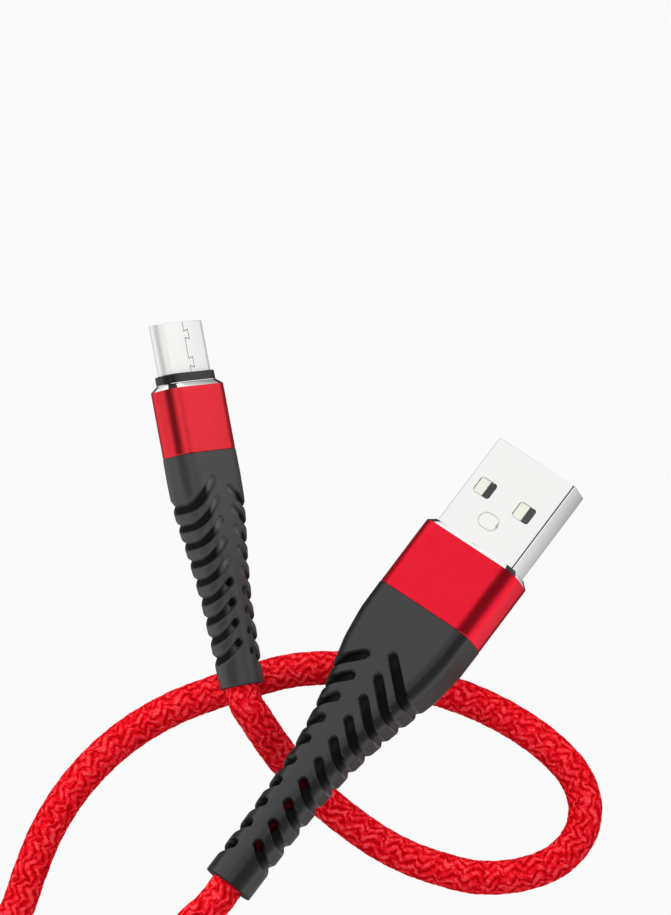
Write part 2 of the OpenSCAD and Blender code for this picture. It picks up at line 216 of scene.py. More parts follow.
# From the top of the coil up to the USB-A plug, in millimetres
TAIL_POINTS = [
    (21.6, -66.3, 6.15), (17, -61.5, 6.2),
    (12.5, -57.7, 6.4), (7.5, -54.4, 7.3), (2.6, -50, 9.4), (0.2, -44.6, 12), (-0.7, -39.2, 13.7),
]
# Where each turn of the coil lies, in turn pitches from the middle: three below and two on top
LANES = [1, 0, -1, -0.5, 0.5]
LOW_TURNS = 3
# The part of its turn that each turn has done when it starts to cross to the next lane
CROSS_AT = [0.75, 0.75, 0.75, 0.5, 1]
CROSS_LEN = 0.25
ENTRY_TURN = 0.15


def lane_radius(turn, done):
    """Radius of one turn of the coil, when a share of it is done."""
    lane = LANES[turn]
    if turn + 1 < len(LANES):
        lane += (LANES[turn + 1] - lane) * ease((done - CROSS_AT[turn]) / CROSS_LEN)
    if turn == 0:
        lane += 1 - ease(done / ENTRY_TURN)
    return COIL_R + lane * TURN_PITCH


def coil_height(turn, done, radius):
    """A turn lies on the table, or in or over the gap between the turns under it."""
    if turn < LOW_TURNS - 1 or (turn == LOW_TURNS - 1 and done < CROSS_AT[turn]):
        return CORD_R
    under = [lane_radius(low, done) for low in range(LOW_TURNS if turn >= LOW_TURNS else LOW_TURNS - 1)]
    near = min(abs(radius - low) for low in under)
    return CORD_R + math.sqrt(max(0.0, CORD_D ** 2 - near ** 2))


def coil_points():
    """Points along the coil, from its first turn on the table to the end of its last turn."""
    points = []
    for angle in range(COIL_START, COIL_END + 1, 5):
        turn, done = divmod((angle - COIL_START) / 360, 1)
        radius = lane_radius(int(turn), done)
        height = coil_height(int(turn), done, radius)
        around = math.radians(angle)
        points.append(COIL_CENTRE + Vector((radius * math.cos(around), radius * math.sin(around), height)))
    return points


def cord_route(spacing):
    """The cord's centre line, from inside the USB-C plug's mouth to inside the USB-A plug's."""
    run = [Vector(p) * MM for p in RUN_POINTS]
    tail = [Vector(p) * MM for p in TAIL_POINTS]
    route = [on_axis(PLUG_C, C_RELIEF[1] - MOUTH_DEPTH), C_EXIT, on_axis(PLUG_C, C_RELIEF[1] + 2 * MM)]
    route += run + coil_points() + tail
    route += [on_axis(PLUG_A, A_RELIEF[1] + 3 * MM), A_EXIT, on_axis(PLUG_A, A_RELIEF[1] - MOUTH_DEPTH)]
    path = smooth_path(route, spacing)
    path[:, 2] = np.maximum(path[:, 2], CORD_R)
    return path


# ---- Materials ----


class Nodes:
    """Short names for building a node tree."""

    def __init__(self, tree):
        self.tree = tree

    def add(self, kind, inputs=(), **settings):
        node = self.tree.nodes.new(kind)
        for key, value in settings.items():
            setattr(node, key, value)
        for key, value in dict(inputs).items():
            self.put(node.inputs[key], value)
        return node

    def put(self, socket, value):
        if isinstance(value, bpy.types.NodeSocket):
            self.tree.links.new(value, socket)
        else:
            socket.default_value = value

    def coords(self):
        """Position on the object, in millimetres."""
        place = self.add("ShaderNodeTexCoord").outputs["Object"]
        return self.add("ShaderNodeMapping", {"Vector": place, "Scale": (1 / MM,) * 3}).outputs["Vector"]

    def noise(self, scale, detail=3, roughness=0.5):
        return self.add("ShaderNodeTexNoise", {
            "Vector": self.coords(), "Scale": scale, "Detail": detail, "Roughness": roughness,
        }).outputs["Fac"]

    def ramp(self, value, *stops):
        node = self.add("ShaderNodeValToRGB", {"Fac": value})
        elements = node.color_ramp.elements
        while len(elements) < len(stops):
            elements.new(0.5)
        for element, (at, colour) in zip(elements, stops):
            element.position = at
            element.color = colour
        return node.outputs["Color"]

    def math(self, operation, first, second):
        return self.add("ShaderNodeMath", {0: first, 1: second}, operation=operation).outputs[0]

    def spread(self, value, low, high):
        inputs = {"Value": value, "To Min": low, "To Max": high}
        return self.add("ShaderNodeMapRange", inputs, clamp=False).outputs["Result"]

    def bump(self, height, distance, strength):
        node = self.add("ShaderNodeBump", {"Height": height, "Distance": distance, "Strength": strength})
        return node.outputs["Normal"]


class Paint(Nodes):
    """A new material, with its nodes."""

    def __init__(self, name):
        self.material = bpy.data.materials.new(name)
        self.material.use_nodes = True
        super().__init__(self.material.node_tree)
        self.shader = self.tree.nodes["Principled BSDF"]
        self.output = self.tree.nodes["Material Output"]

    def set(self, **values):
        for key, value in values.items():
            self.put(self.shader.inputs[key.replace("_", " ")], value)


def rgb(red, green, blue):
    return (red, green, blue, 1.0)


# Zigzag ridges of the braid: how many there are round the cord, the length of one zigzag in millimetres,
# how far it swings, in ridges, and the strands in a ridge
ZIGZAG_ROWS = 11
ZIGZAG_STEP = 2.6
ZIGZAG_SWING = 1.0
RIDGE_STRANDS = 4


def braided_nylon(name, shades):
    """Yarn in zigzag ridges that run along the cord, from its own lengthwise and round coordinates.
    Its colour follows the height: painted shade in the gaps and crushed patches, a painted highlight on the
    crowns.
    """
    n = Paint(name)
    place = n.add("ShaderNodeUVMap", uv_map="braid").outputs["UV"]
    split = n.add("ShaderNodeSeparateXYZ", {"Vector": place})
    turn, along = split.outputs["X"], split.outputs["Y"]
    along = n.math("ADD", along, n.spread(n.noise(0.55, 2, 0.5), -1.1, 1.1))
    zigzag = n.math("DIVIDE", n.math("PINGPONG", along, ZIGZAG_STEP / 2), ZIGZAG_STEP / 2)
    row = n.math("ADD", n.math("MULTIPLY", turn, ZIGZAG_ROWS), n.math("MULTIPLY", zigzag, ZIGZAG_SWING))
    row = n.math("ADD", row, n.spread(n.noise(1.1, 3, 0.55), -0.7, 0.7))
    across = n.math("MULTIPLY", n.math("PINGPONG", row, 0.5), 2)
    gap = n.ramp(across, (0.0, rgb(1, 1, 1)), (0.18, rgb(0.85, 0.85, 0.85)), (0.5, rgb(0.2, 0.2, 0.2)),
                 (0.85, rgb(0, 0, 0)))
    gap = n.math("MULTIPLY", gap, n.spread(n.noise(1.6, 2, 0.5), -0.1, 1.5))
    strands = n.math("PINGPONG", n.math("MULTIPLY", row, RIDGE_STRANDS), 0.5)
    fibres = n.noise(6.0, 4, 0.7)
    yarn = n.math("ADD", n.spread(fibres, 0.55, 1.15), n.math("MULTIPLY", strands, 0.3))
    crushed = n.spread(n.noise(1.4, 2, 0.6), 0.95, -0.75)
    height = n.math("SUBTRACT", n.math("SUBTRACT", yarn, gap), crushed)
    # Colour follows the height: painted shade low in the gaps and crushed patches, painted highlight on the
    # crowns
    colour = n.ramp(height, *[(at, rgb(*shade)) for at, shade in zip((0.0, 0.35, 0.75, 1.0), shades)])
    n.set(Base_Color=colour, Roughness=n.spread(fibres, 0.45, 0.65), Specular_IOR_Level=0.03,
          Normal=n.bump(height, 0.18 * MM, 0.7))
    return n.material


def polished_steel():
    n = Paint("polished_steel")
    grain = n.noise(3.0, 3, 0.55)
    n.set(Base_Color=n.ramp(grain, (0.3, rgb(0.92, 0.92, 0.91)), (0.7, rgb(0.94, 0.94, 0.93))),
          Metallic=1.0, Roughness=n.spread(grain, 0.14, 0.24),
          Normal=n.bump(n.noise(14.0, 2), 0.01 * MM, 0.3))
    return n.material


def satin_steel():
    n = Paint("satin_steel")
    grain = n.noise(6.0, 3, 0.55)
    n.set(Base_Color=n.ramp(grain, (0.3, rgb(0.98, 0.98, 0.965)), (0.7, rgb(1.0, 1.0, 0.985))),
          Metallic=0.5, Roughness=n.spread(grain, 0.34, 0.42), Normal=n.bump(grain, 0.01 * MM, 0.3))
    return n.material


def anodised_red(name, dark, light):
    n = Paint(name)
    blast = n.noise(16.0, 2, 0.6)
    shade = n.noise(0.5, 2)
    n.set(Base_Color=n.ramp(shade, (0.3, rgb(*dark)), (0.7, rgb(*light))),
          Metallic=1.0, Roughness=n.spread(blast, 0.24, 0.36), Specular_Tint=rgb(0.95, 0.65, 0.68),
          Normal=n.bump(blast, 0.012 * MM, 0.5))
    return n.material


def cut_aluminium():
    n = Paint("cut_aluminium")
    lines = n.noise(9.0, 2, 0.5)
    n.set(Base_Color=n.ramp(lines, (0.3, rgb(0.90, 0.89, 0.89)), (0.7, rgb(0.96, 0.95, 0.95))),
          Metallic=1.0, Roughness=n.spread(lines, 0.05, 0.12))
    return n.material


def grey_rubber():
    """Dark rubber; its "sunk" value is painted shade, which darkens the slots and dulls their gloss, or
    below zero a painted highlight, which lightens them.
    """
    n = Paint("grey_rubber")
    grain = n.noise(7.0, 4, 0.6)
    sunk = n.spread(n.add("ShaderNodeAttribute", attribute_name="sunk").outputs["Fac"], 0.5, 1.0)
    face = n.ramp(sunk, (0.1, rgb(0.10, 0.10, 0.10)), (0.47, rgb(0.047, 0.047, 0.047)),
                  (0.57, rgb(0.045, 0.045, 0.045)), (0.95, rgb(0.007, 0.007, 0.007)))
    colour = n.add("ShaderNodeMix", data_type="RGBA", blend_type="MULTIPLY")
    n.put(colour.inputs["Factor"], 1.0)
    n.put(colour.inputs[6], face)
    n.put(colour.inputs[7], n.ramp(grain, (0.3, rgb(0.9, 0.9, 0.9)), (0.7, rgb(1, 1, 1))))
    matt = n.math("ADD", n.spread(sunk, -0.4, 0.45), n.spread(grain, 0.26, 0.36))
    gloss = n.ramp(sunk, (0.55, rgb(0.42, 0.42, 0.42)), (0.9, rgb(0.1, 0.1, 0.1)))
    n.set(Base_Color=colour.outputs[2], Roughness=n.math("MAXIMUM", matt, 0.3), Specular_IOR_Level=gloss,
          Normal=n.bump(n.noise(18.0, 3, 0.6), 0.02 * MM, 0.3))
    return n.material


def moulded(name, dark, light, roughness=0.45, grain_size=8.0):
    """Moulded plastic with a faint grain."""
    n = Paint(name)
    grain = n.noise(grain_size, 3, 0.6)
    n.set(Base_Color=n.ramp(grain, (0.3, rgb(*dark)), (0.7, rgb(*light))),
          Roughness=n.spread(grain, roughness - 0.06, roughness + 0.06),
          Normal=n.bump(n.noise(grain_size * 2, 2), 0.01 * MM, 0.4))
    return n.material


def metal(name, dark, light, roughness=0.25):
    """Plain metal with a faint grain."""
    n = Paint(name)
    grain = n.noise(10.0, 3, 0.6)
    n.set(Base_Color=n.ramp(grain, (0.3, rgb(*dark)), (0.7, rgb(*light))), Metallic=1.0,
          Roughness=n.spread(grain, roughness - 0.07, roughness + 0.07),
          Normal=n.bump(grain, 0.01 * MM, 0.3))
    return n.material


def strap_weave():
    n = Paint("strap_weave")
    loops = n.add("ShaderNodeTexVoronoi", {"Vector": n.coords(), "Scale": 3.2}).outputs["Distance"]
    n.set(Base_Color=n.ramp(loops, (0.0, rgb(0.06, 0.06, 0.065)), (0.6, rgb(0.02, 0.02, 0.022))),
          Roughness=0.9, Sheen_Weight=0.4, Sheen_Roughness=0.5, Normal=n.bump(loops, 0.12 * MM, 0.8))
    return n.material


def shield_weave():
    n = Paint("shield_weave")
    wires = n.add("ShaderNodeTexWave", {
        "Vector": n.coords(), "Scale": 2.2, "Distortion": 1.5, "Detail": 2.0,
    }, bands_direction="DIAGONAL").outputs["Fac"]
    n.set(Base_Color=n.ramp(wires, (0.2, rgb(0.35, 0.32, 0.28)), (0.8, rgb(0.75, 0.72, 0.68))),
          Metallic=1.0, Roughness=0.38, Normal=n.bump(wires, 0.05 * MM, 0.8))
    return n.material


STEEL = polished_steel()
SIDE_STEEL = metal("shell_side_steel", (0.90, 0.90, 0.895), (0.95, 0.95, 0.945), 0.25)
SATIN = satin_steel()
# Near-black steel: painted shade on the faces of the seam grooves
SEAM_SHADE = metal("seam_shade", (0.16, 0.155, 0.15), (0.22, 0.215, 0.21), 0.45)
# Slightly darker, warmer steel: painted shade in the dimple's pressed groove
PRESSED_SHADE = metal("pressed_line_shade", (0.86, 0.84, 0.81), (0.90, 0.88, 0.85), 0.45)
# Near-black chrome: a painted dark reflection on the chamfer corners and the USB-A collar's lower right
# edge
CHROME_PAINTED_DARK = metal("chrome_painted_dark_reflection", (0.02, 0.022, 0.024), (0.035, 0.038, 0.04), 0.2)
A_RED = anodised_red("anodised_red", (0.86, 0.015, 0.036), (0.88, 0.019, 0.040))
C_RED = anodised_red("anodised_pale_red", (0.77, 0.032, 0.046), (0.79, 0.037, 0.051))
# Darker red: painted shade on the USB-A collar's lower right edge
RED_PAINTED_SHADE = anodised_red("anodised_red_painted_shade", (0.30, 0.002, 0.006), (0.34, 0.003, 0.008))
CUT = cut_aluminium()
RUBBER = grey_rubber()
# From the gaps to the crowns: painted shade, then a painted highlight
NYLON = braided_nylon("braided_nylon", (
    (0.44, 0.0, 0.001), (0.66, 0.0, 0.005), (0.92, 0.010, 0.022), (1.0, 0.065, 0.075)))
# The same braid much darker: painted shade on the braid inside the strain reliefs
SHADED_SLEEVE_NYLON = braided_nylon("sleeve_nylon_painted_shade", (
    (0.02, 0.0, 0.0005), (0.05, 0.0002, 0.001), (0.09, 0.001, 0.003), (0.12, 0.002, 0.005)))
CREAM = moulded("cream_plastic", (0.88, 0.87, 0.74), (0.95, 0.94, 0.82), 0.4)
# Lighter copy of the cream plastic: painted light on the tongue blocks in the USB-A windows
CREAM_PAINTED_LIGHT = moulded("boss_plastic_painted_light", (0.93, 0.93, 0.80), (0.96, 0.96, 0.84), 0.4)
BLACK = moulded("black_plastic", (0.008, 0.008, 0.008), (0.014, 0.014, 0.014), 0.34)
# Near-black plastic: painted shadow in the USB-A windows
PAINTED_SHADOW_PLASTIC = moulded("painted_shadow_plastic", (0.03, 0.03, 0.03), (0.10, 0.10, 0.10), 0.3, 0.8)
JACKET = moulded("jacket_plastic", (0.66, 0.66, 0.62), (0.76, 0.76, 0.72), 0.5)
BOARD = moulded("board_mask", (0.008, 0.10, 0.03), (0.012, 0.16, 0.05), 0.3)
WIRE_PAINT = {
    "red": moulded("wire_red", (0.42, 0.008, 0.008), (0.55, 0.014, 0.014), 0.42),
    "white": moulded("wire_white", (0.68, 0.68, 0.66), (0.80, 0.80, 0.78), 0.42),
    "green": moulded("wire_green", (0.01, 0.18, 0.03), (0.02, 0.28, 0.05), 0.42),
    "black": moulded("wire_black", (0.01, 0.01, 0.01), (0.02, 0.02, 0.02), 0.42),
}
GOLD = metal("contact_gold", (0.72, 0.46, 0.14), (0.84, 0.58, 0.22), 0.2)
TIN = metal("solder_tin", (0.52, 0.53, 0.54), (0.68, 0.69, 0.70), 0.3)
SPRING = metal("spring_steel", (0.42, 0.42, 0.42), (0.55, 0.55, 0.55), 0.28)
SHIELD = shield_weave()
STRAP = strap_weave()

# ---- The braided cord ----

BRAID_RELIEF = 0.1 * MM
BRAID_CROWN = CORD_R + 0.07 * MM
BRAID_AROUND = 40
BRAID_SPACING = 0.4 * MM


def braid_height(along, turn):
    """Height of the zigzag ridges, from 0 between them to 1 on their crowns."""
    zigzag = 2 * np.abs(along / (ZIGZAG_STEP * MM) % 1 - 0.5)
    return 0.5 - 0.5 * np.cos(2 * math.pi * (ZIGZAG_ROWS * turn + ZIGZAG_SWING * (1 - zigzag)))


def braided_tube(name, path, node_names, material):
    """Closed tube with the braid's ridges raised on its surface, and its own coordinates as its UV map."""
    steps = np.linalg.norm(np.diff(path, axis=0), axis=1)
    along = np.concatenate([[0], np.cumsum(steps)])
    turn = np.arange(BRAID_AROUND) / BRAID_AROUND
    radius = BRAID_CROWN - BRAID_RELIEF * (1 - braid_height(along[:, None], turn[None, :]))
    _, side, up = path_frames(path)
    angle = 2 * math.pi * turn
    offset = side[:, None, :] * np.cos(angle)[None, :, None] + up[:, None, :] * np.sin(angle)[None, :, None]
    rings = path[:, None, :] + radius[:, :, None] * offset
    rings[:, :, 2] = np.maximum(rings[:, :, 2], 0.02 * MM)
    faces = grid_faces(len(path), BRAID_AROUND)[:, ::-1].tolist()
    last = (len(path) - 1) * BRAID_AROUND
    faces.append(list(range(BRAID_AROUND)))
    faces.append([last + k for k in reversed(range(BRAID_AROUND))])
    piece = loose_mesh(name, rings.reshape(-1, 3), faces, [material])
    piece.data.validate()
    piece.data.polygons.foreach_set("use_smooth", [True] * len(piece.data.polygons))
    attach(piece, "root")
    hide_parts(*node_names)
    ring, step = np.meshgrid(np.arange(len(path) - 1), np.arange(BRAID_AROUND), indexing="ij")
    corner_u = np.stack([step, step + 1, step + 1, step], axis=-1) / BRAID_AROUND
    corner_v = along[np.stack([ring + 1, ring + 1, ring, ring], axis=-1)] / MM
    uv = np.stack([corner_u, corner_v], axis=-1).reshape(-1, 2)
    caps = [np.stack([turn, np.full_like(turn, end / MM)], axis=-1) for end in (along[0], along[-1])]
    layer = piece.data.uv_layers.new(name="braid")
    layer.data.foreach_set("uv", np.concatenate([uv, *caps]).reshape(-1))
    return piece


CORD_PATH = cord_route(BRAID_SPACING)
cord = braided_tube("braided_cord", CORD_PATH, ["cord_run", "cord_coil", "cord_tail"], NYLON)

# ---- Shapes in a plug's own frame ----


def outline(n_side, n_corner, n_top):
    """A rounded rectangle's points as signs, shares of the straights and corner angles, once round."""
    quarter = [(1, share, 0) for share in np.linspace(0, 1, n_side, endpoint=False)]
    quarter += [(1, 1, angle) for angle in np.linspace(0, math.pi / 2, n_corner, endpoint=False)]
    quarter += [(share, 1, math.pi / 2) for share in np.linspace(1, 0, n_top + 1)]
    back = quarter[::-1]
    loop = []
    for sx, sz, points in ((1, 1, quarter), (-1, 1, back), (-1, -1, quarter), (1, -1, back)):
        loop += [(sx, sz, *point) for point in points[:-1]]
    return np.array(loop, float).T


def section(loop, half_w, half_h, corner):
    """Points of a rounded rectangle, or of one rectangle per ring when the sizes are arrays."""
    sx, sz, share_x, share_z, angle = loop
    x = sx * ((half_w - corner) * share_x + corner * np.cos(angle))
    z = sz * ((half_h - corner) * share_z + corner * np.sin(angle))
    return x, z


def ring_stack(loop, rings):
    """Rings of points from (distance back, half width, half height, corner radius), in millimetres."""
    stack = []
    for back, half_w, half_h, corner in rings:
        x, z = section(loop, half_w, half_h, min(corner, half_w - 0.02, half_h - 0.02))
        stack.append(np.stack([x, np.full_like(x, -back), z], axis=-1))
    return np.array(stack)


def joined_rings(stack):
    """Vertices and faces of a closed wall: its rings run out along one skin and back along the other."""
    around = stack.shape[1]
    faces = grid_faces(len(stack) + 1, around) % (len(stack) * around)
    return stack.reshape(-1, 3), faces.tolist()


def finished(piece, plug, sharp=35):
    """Apply a piece's modifiers, and bring it from its plug's frame, in millimetres, to its place."""
    depsgraph = bpy.context.evaluated_depsgraph_get()
    mesh = bpy.data.meshes.new_from_object(piece.evaluated_get(depsgraph))
    piece.modifiers.clear()
    piece.data = mesh
    mesh.transform(plug @ Matrix.Scale(MM, 4))
    for vertex in mesh.vertices:
        vertex.co.z = max(vertex.co.z, 0)
    mesh.polygons.foreach_set("use_smooth", [True] * len(mesh.polygons))
    mesh.set_sharp_from_angle(angle=math.radians(sharp))
    return piece


def plug_piece(name, plug, stack, materials, node_names, zones=None, cutters=(), bevel=0, sharp=35):
    """A walled piece of a plug, with its cuts made and its edges softened."""
    vertices, faces = joined_rings(stack)
    piece = loose_mesh(name, vertices, faces, materials)
    if zones is not None:
        piece.data.polygons.foreach_set("material_index", zones.reshape(-1).astype(np.int32))
    for cutter in cutters:
        cut = piece.modifiers.new("cut", "BOOLEAN")
        cut.object = cutter
        cut.operation = "DIFFERENCE"
        cut.solver = "EXACT"
        cut.material_mode = "TRANSFER"
    if bevel:
        soften = piece.modifiers.new("soften", "BEVEL")
        soften.width = bevel
        soften.segments = 2
        soften.limit_method = "ANGLE"
        soften.angle_limit = math.radians(40)
    finished(piece, plug, sharp)
    for cutter in cutters:
        bpy.data.objects.remove(cutter)
    even = piece.modifiers.new("even", "WEIGHTED_NORMAL")
    even.keep_sharp = True
    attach(piece, "root")
    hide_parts(*node_names)
    return piece


def prism(points, low, high, material):
    """Cutter: a flat outline in X and Y carried from one height to another."""
    count = len(points)
    vertices = [(x, y, low) for x, y in points] + [(x, y, high) for x, y in points]
    faces = [list(reversed(range(count))), list(range(count, 2 * count))]
    faces += [[k, (k + 1) % count, (k + 1) % count + count, k + count] for k in range(count)]
    return loose_mesh("cutter", vertices, faces, [material])


def rounded_window(x, back, width, length, corner, low, high):
    """Cutter: a rounded rectangle, centred on x and a distance back from the tip."""
    loop = outline(1, 6, 1)
    px, py = section(loop, width / 2, length / 2, corner)
    return prism(list(zip(px + x, py - back)), low, high, STEEL)


def groove(points, width, low, high):
    """Cutters for a narrow cut that follows a line of (x, distance back) points; its faces take the seam's
    painted shade.
    """
    cutters = []
    for (x0, b0), (x1, b1) in zip(points, points[1:]):
        start, end = Vector((x0, -b0)), Vector((x1, -b1))
        along = (end - start).normalized() * width / 2
        side = Vector((-along.y, along.x))
        start, end = start - along, end + along
        cutters.append(prism([start - side, end - side, end + side, start + side], low, high, SEAM_SHADE))
    return cutters


def rim_groove(x, back, half_w, half_l, height, radius):
    """Cutter: a round bar bent into an oval, for a pressed line in a flat face, whose faces take a painted
    shade.
    """
    turns = np.linspace(0, 2 * math.pi, 48, endpoint=False)
    straight = half_w - half_l
    stack = []
    for turn in turns:
        shift = straight * np.clip(math.cos(turn) * 3, -1, 1)
        out = np.array([math.cos(turn), math.sin(turn)])
        centre = np.array([x + shift, -back]) + out * half_l
        ring = []
        for around in np.linspace(0, 2 * math.pi, 10, endpoint=False):
            flat = centre + out * radius * math.cos(around)
            ring.append((flat[0], flat[1], height + radius * math.sin(around)))
        stack.append(ring)
    vertices, faces = joined_rings(np.array(stack))
    return loose_mesh("cutter", vertices, [face[::-1] for face in faces], [PRESSED_SHADE])


# ---- Strain reliefs ----

# Cross-sections: distance from the collar, half width, half height, corner radius
A_RELIEF_RINGS = [
    (0, 7.3, 3.7, 2.2), (4, 7.25, 3.7, 2.2), (8, 6.75, 3.6, 2.3), (11, 6.0, 3.45, 2.4),
    (14.5, 5.1, 3.35, 2.5), (18, 4.35, 3.25, 2.6), (22, 3.75, 3.2, 2.8), (26, 3.4, 3.15, 2.9),
    (33, 3.18, 3.15, 3.05), (40.9, 3.18, 3.18, 3.1),
]
C_RELIEF_RINGS = [
    (0, 5.0, 2.6, 2.0), (3, 4.95, 2.72, 2.05), (6, 4.75, 2.9, 2.2), (9, 4.3, 3.0, 2.4),
    (13, 3.65, 3.0, 2.6), (18, 3.1, 2.9, 2.7), (24, 2.85, 2.8, 2.7), (28.8, 2.75, 2.75, 2.7),
]
# The slots of each strain relief, in millimetres from its collar:
#   count, pitch, first: how many slots a side has, how far apart they are and where the first one lies
#   lead: the side that the first slot is on; the other side's slots lie half a pitch further back
#   spine, drift: half width and sideways shift of the plain spine, at the first slot and at the last
#   half, top_depth, side_depth: half width of a slot, and its depth on the faces and on the long edges
#   hole_r, hole_floor: radius of the holes in the open slots, and how near to the middle they reach
#   lit, open_lit: how much a painted highlight lightens the inner ends, in the closed slots and in the open
#       ones
#   side_shade, edge_shade, wall_shade: how much painted shade darkens the sides, the bends beside the faces
#       and the slots
A_SLOTS = SimpleNamespace(
    count=10, pitch=3.1, first=6.6, lead=1, spine=(1.1, 0.85), drift=(-0.7, -0.1),
    half=0.58, top_depth=0.85, side_depth=0.36, hole_r=0.62, hole_floor=1.7,
    lit=0.3, open_lit=0, side_shade=0.5, edge_shade=0.68, wall_shade=1.7)
C_SLOTS = SimpleNamespace(
    count=9, pitch=2.5, first=3.2, lead=-1, spine=(0.85, 0.5), drift=(0, -0.85),
    half=0.46, top_depth=0.42, side_depth=0.34, hole_r=0.42, hole_floor=2.16,
    lit=1.8, open_lit=1, side_shade=0, edge_shade=0, wall_shade=1.1)
SLANT = math.radians(42)
# How many slots at the end of each side have a hole in them
OPEN_SLOTS = 4
SLOT_STEP = 0.15
# The close rings run on this far before the first slot and past the last
SLOT_MARGIN = 1.2
SKIN_END = 0.15
# The bore for the braid, the narrower one behind it, and the pocket that takes the plug's inner mould
MOUTH_R = 2.15
MOUTH_LEN = 2.9
CORE_R = 1.5
POCKET_LEN = 5
POCKET_CORNER = 0.4
# Painted shade on the rubber inside the mouth and the pocket, and on its rounded end
RIM_SHADE = 0.8
# How long the painted highlight at the inner end of a slot is, and how much further it takes to fade
LIT_LEN = 1.1
LIT_FADE = 1.6


def slanted_skin(rings, slots, loop):
    """A relief's skin without its slots, in rings that lean back from the spine by the slots' slant."""
    length = rings[-1][0]
    last = slots.first + (slots.count - 0.5) * slots.pitch
    close_start = slots.first - SLOT_MARGIN
    close_end = last + SLOT_MARGIN
    plain = np.linspace(0, close_start, 14, endpoint=False)
    slotted = np.arange(close_start, close_end, SLOT_STEP)
    cuff = np.linspace(close_end, length - SKIN_END, 10)
    station = np.concatenate([plain, slotted, cuff])[:, None]
    fade_start = last + 0.6
    fade_end = length - 0.4
    lean = ease(station / slots.first) * (1 - ease((station - fade_start) / (fade_end - fade_start)))
    middle = np.interp(station, [slots.first, last], slots.drift) * loop[1] * np.sin(loop[4])
    half_spine = np.interp(station, [slots.first, last], slots.spine)
    table = np.array(rings).T
    back = station + 0 * loop[0]
    # A ring's lean depends on its width, which depends on its lean, so they are settled together
    for _ in range(10):
        half_w, half_h, corner = (np.interp(back, table[0], row) for row in table[1:])
        x, z = section(loop, half_w, half_h, np.minimum(corner, half_h - 0.02))
        out = np.maximum(np.abs(x - middle) - half_spine, 0)
        back = np.minimum(station + np.tan(SLANT) * out * lean, length - SKIN_END)
    upward = np.abs(np.sin(loop[4]))
    return SimpleNamespace(x=x, z=z, back=back, station=station, last=last, lean=lean, middle=middle,
                           out=out, along=out / math.cos(SLANT), upward=upward)


def slot_marks(skin, slots):
    """How far each point of the skin lies in a slot, and in a hole: 0 outside, 1 on the floor."""
    on_face = ease(skin.upward)
    floor_half = 0.1 + (slots.half - 0.2) * on_face
    shoulder = 0.5 - 0.3 * on_face
    slot_end = slots.half / math.cos(SLANT)
    hole_end = slots.hole_r / math.cos(SLANT)
    sunk = np.zeros_like(skin.x)
    hole = np.zeros_like(skin.x)
    for side in (-1, 1):
        this_side = (side * (skin.x - skin.middle) > 0) & (skin.out > 0)
        later = 0 if side == slots.lead else 0.5
        for i in range(slots.count):
            apart = skin.station - slots.first - (i + later) * slots.pitch
            across = apart * math.cos(SLANT)
            inner = skin.along + apart * math.sin(SLANT) * skin.lean
            away = np.hypot(across, np.maximum(slot_end - inner, 0))
            sunk = np.maximum(sunk, (1 - ease((away - floor_half) / shoulder)) * this_side)
            if i >= slots.count - OPEN_SLOTS:
                past = np.maximum(hole_end - inner, 0) + np.maximum(inner - hole_end - 0.2, 0)
                away = np.hypot(across, past)
                hole = np.maximum(hole, (1 - ease((away - slots.hole_r + 0.06) / 0.12)) * this_side)
    return sunk, hole


def slot_shade(skin, slots, sunk, hole):
    """How much painted shade the rubber has at each point, in the slots and holes, on the sides and along
    their bends; below zero it is a painted highlight.
    """
    open_from = skin.last - (OPEN_SLOTS - 0.25) * slots.pitch
    lit = np.where(skin.station > open_from, slots.open_lit, slots.lit)
    lit = lit * (1 - ease((skin.along - LIT_LEN) / LIT_FADE))
    shade = np.minimum(slots.wall_shade * sunk, 1) * (1 - lit)
    shade = np.where(hole > 0.05, np.maximum(hole, shade), shade)
    bend = ease((skin.upward - 0.35) * 3) * (1 - ease((skin.upward - 0.83) * 7))
    on_side = slots.side_shade * (1 - ease(skin.upward * 1.4))
    return np.where(sunk > 0.05, shade * (1 - on_side), np.maximum(on_side, slots.edge_shade * bend))


def relief_skin(rings, slots, loop):
    """Outer skin of a strain relief with its slots pressed in, and the painted shade of each of its points.
    """
    skin = slanted_skin(rings, slots, loop)
    sunk, hole = slot_marks(skin, slots)
    depth = sunk * (slots.side_depth + (slots.top_depth - slots.side_depth) * ease(skin.upward * 1.2 - 0.1))
    x = skin.x - depth * loop[0] * np.cos(loop[4])
    z = skin.z - depth * loop[1] * np.sin(loop[4])
    inward = 1 + hole * ease(skin.upward * 2 - 0.6) * (slots.hole_floor / np.hypot(x, z) - 1)
    points = np.stack([x * inward, -skin.back, z * inward], axis=-1)
    return points, slot_shade(skin, slots, sunk, hole)


